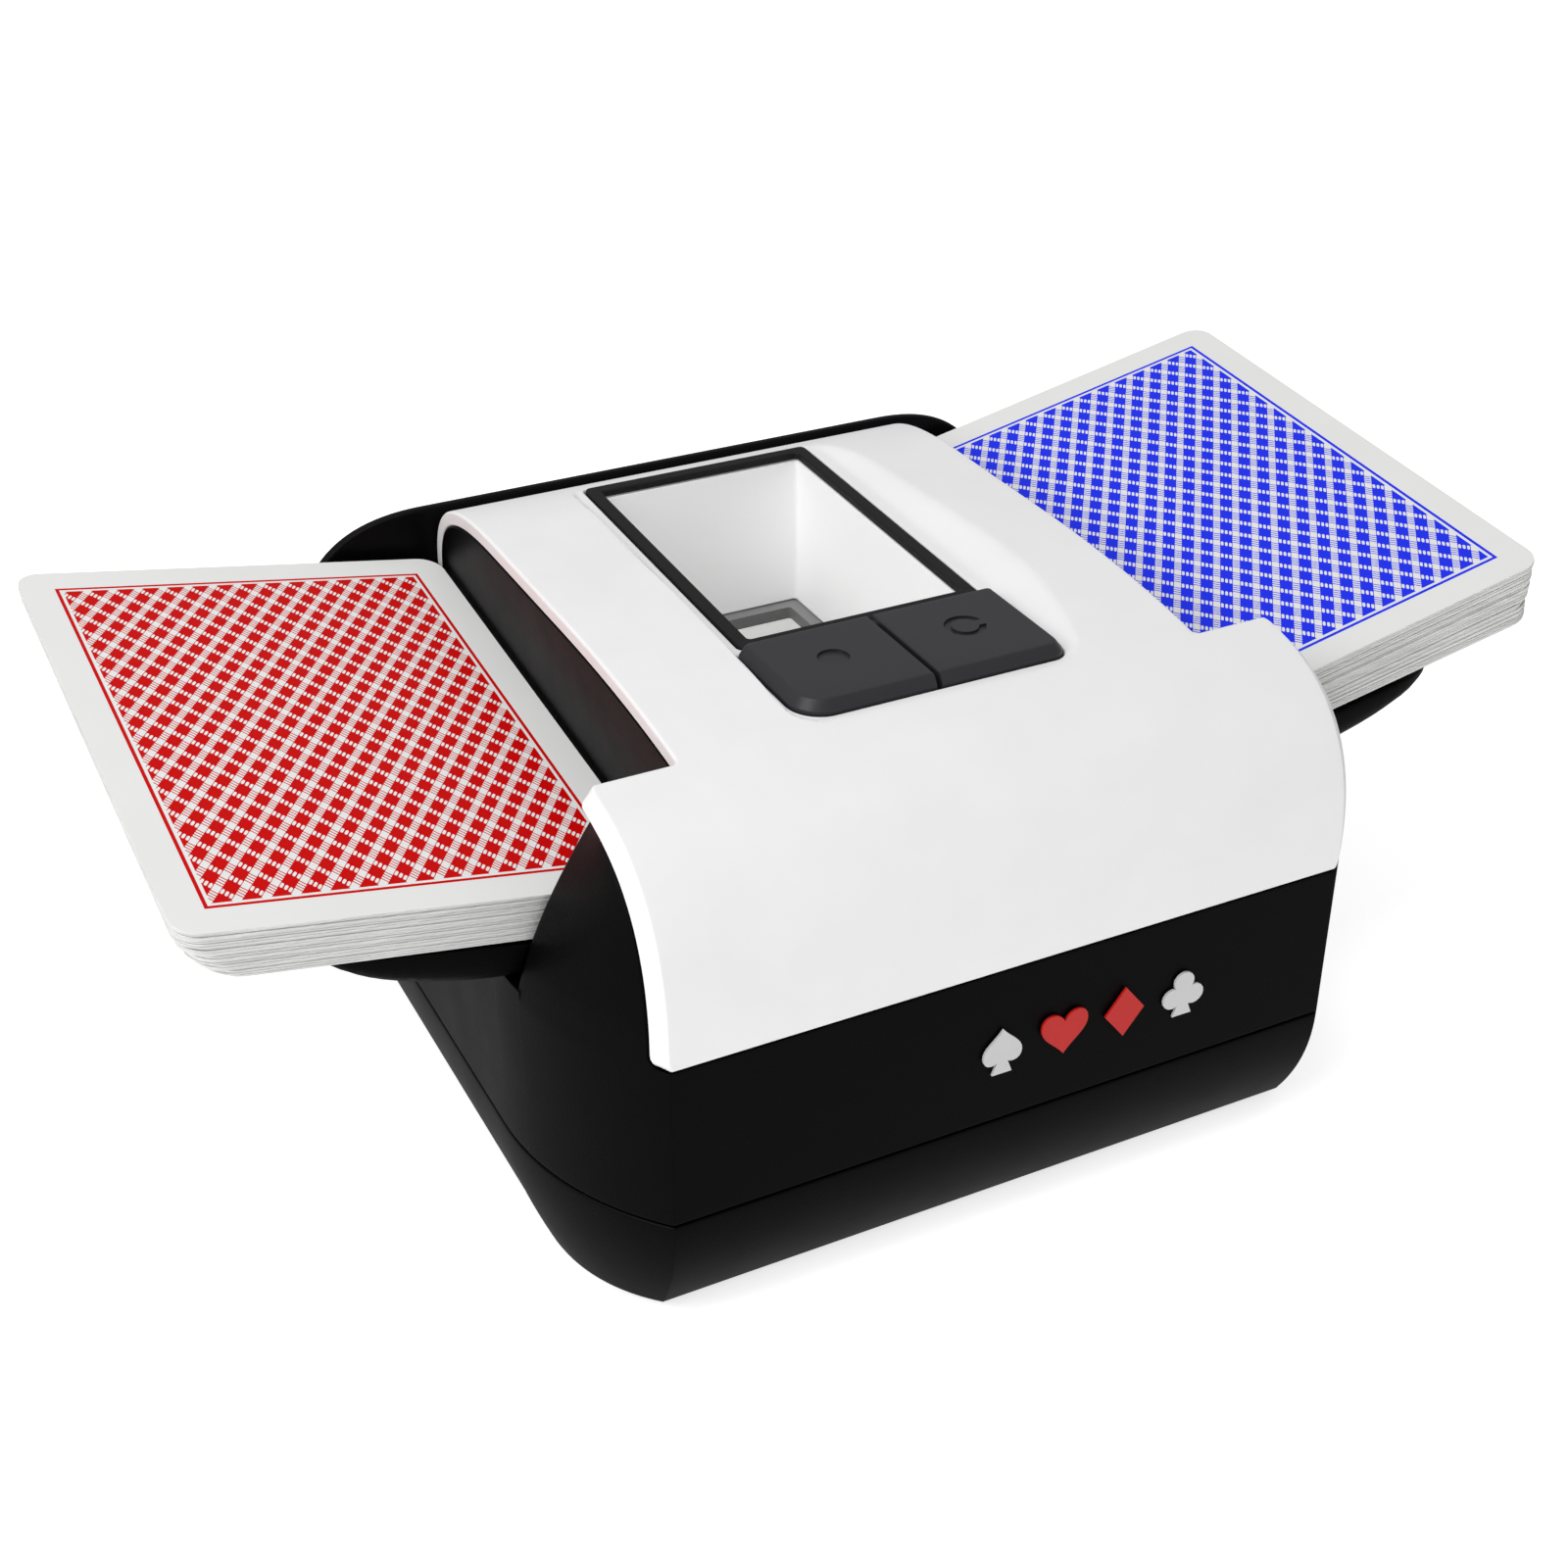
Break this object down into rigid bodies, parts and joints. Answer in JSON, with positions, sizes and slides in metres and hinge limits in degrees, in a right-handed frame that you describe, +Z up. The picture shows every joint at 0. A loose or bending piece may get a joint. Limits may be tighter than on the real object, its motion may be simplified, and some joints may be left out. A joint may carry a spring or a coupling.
{
  "type": "automatic card shuffler",
  "caption": "Tabletop card shuffler: tilted side trays feed two decks by rubber rollers into a central bin under a windowed cover, with two push buttons and a rear drawer.",
  "frame": {"origin": "middle of the footprint on the surface it stands on, at the underside of the rubber feet", "axes": "+X to the blue deck's side, +Y to the rear drawer, +Z up; the front face with the card-suit badge looks toward -Y"},
  "size_m": [0.2018, 0.1146, 0.0754],
  "materials": {
    "shell_black": "fine-textured satin",
    "cover_white": "satin",
    "gasket_black": "matte",
    "chute_white": "satin",
    "rim_grey": "matte",
    "button_charcoal": "satin",
    "foot_rubber": "matte",
    "roller_rubber": "matte",
    "nylon": "satin",
    "steel": "turned",
    "brass": "turned",
    "board_green": "solder mask",
    "cell_wrap": "shrink film",
    "card_stock_red": "coated, red-printed back",
    "card_stock_blue": "coated, blue-printed back",
    "badge_light": "gloss",
    "badge_red": "gloss"
  },
  "bodies": {
    "body": {"base_tray": "shell_black", "mid_casing": "shell_black", "top_cover": "cover_white", "window_gasket": "gasket_black", "chute_liner": "chute_white", "chute_rim": "rim_grey", "button_board": "board_green", "manual_switch": "button_charcoal", "auto_switch": "button_charcoal", "main_board": "board_green", "battery_pack": "cell_wrap", "charge_port": "steel", "charge_board": "board_green", "badge_spade": "badge_light", "badge_heart": "badge_red", "badge_diamond": "badge_red", "badge_club": "badge_light", "foot_1": "foot_rubber", "base_screw_1": "steel", "foot_2": "foot_rubber", "base_screw_2": "steel", "foot_3": "foot_rubber", "base_screw_3": "steel", "foot_4": "foot_rubber", "base_screw_4": "steel", "left_card_tray": "shell_black", "left_front_bush": "brass", "left_rear_bush": "brass", "left_feed_frame": "shell_black", "left_motor": "steel", "right_card_tray": "shell_black", "right_front_bush": "brass", "right_rear_bush": "brass", "right_feed_frame": "shell_black", "right_motor": "steel"},
    "manual_button": {"manual_button": "button_charcoal"},
    "auto_button": {"auto_button": "button_charcoal"},
    "drawer": {"card_drawer": "chute_white"},
    "red_cards": {"red_deck": "card_stock_red"},
    "blue_cards": {"blue_deck": "card_stock_blue"},
    "left_roller": {"left_roller_shaft": "steel", "left_roller_hub_1": "nylon", "left_feed_tyre_1": "roller_rubber", "left_roller_hub_2": "nylon", "left_feed_tyre_2": "roller_rubber", "left_roller_gear": "nylon"},
    "left_pinion": {"left_motor_pinion": "brass"},
    "right_roller": {"right_roller_shaft": "steel", "right_roller_hub_1": "nylon", "right_feed_tyre_1": "roller_rubber", "right_roller_hub_2": "nylon", "right_feed_tyre_2": "roller_rubber", "right_roller_gear": "nylon"},
    "right_pinion": {"right_motor_pinion": "brass"}
  },
  "joints": [
    {"name": "manual_button_press", "type": "slide", "parent": "body", "child": "manual_button", "axis": [0, 0, -1], "range_m": [0, 0.001], "stiffness_N_per_m": 800, "springref_m": -0.0003},
    {"name": "auto_button_press", "type": "slide", "parent": "body", "child": "auto_button", "axis": [0, 0, -1], "range_m": [0, 0.001], "stiffness_N_per_m": 800, "springref_m": -0.0003},
    {"name": "left_roller_spin", "type": "hinge", "parent": "body", "child": "left_roller", "pos_m": [-0.0489, 0.009, 0.04464], "axis": [0, 0.9962, 0.0872], "continuous": true},
    {"name": "left_pinion_spin", "type": "hinge", "parent": "body", "child": "left_pinion", "pos_m": [-0.0489, 0.00971, 0.03652], "axis": [0, 0.9962, 0.0872], "continuous": true},
    {"name": "right_roller_spin", "type": "hinge", "parent": "body", "child": "right_roller", "pos_m": [0.0489, 0.009, 0.04464], "axis": [0, 0.9962, 0.0872], "continuous": true},
    {"name": "right_pinion_spin", "type": "hinge", "parent": "body", "child": "right_pinion", "pos_m": [0.0489, 0.00971, 0.03652], "axis": [0, 0.9962, 0.0872], "continuous": true},
    {"name": "drawer_slide", "type": "slide", "parent": "body", "child": "drawer", "axis": [0, 1, 0], "range_m": [0, 0.07]},
    {"name": "red_deck_slide", "type": "slide", "parent": "body", "child": "red_cards", "axis": [-0.983, 0, 0.1838], "range_m": [0, 0.045]},
    {"name": "blue_deck_slide", "type": "slide", "parent": "body", "child": "blue_cards", "axis": [0.983, 0, 0.1838], "range_m": [0, 0.045]}
  ],
  "couplings": [
    {"joint": "left_pinion_spin", "follows": "left_roller_spin", "ratio": -3},
    {"joint": "right_pinion_spin", "follows": "right_roller_spin", "ratio": -3}
  ]
}
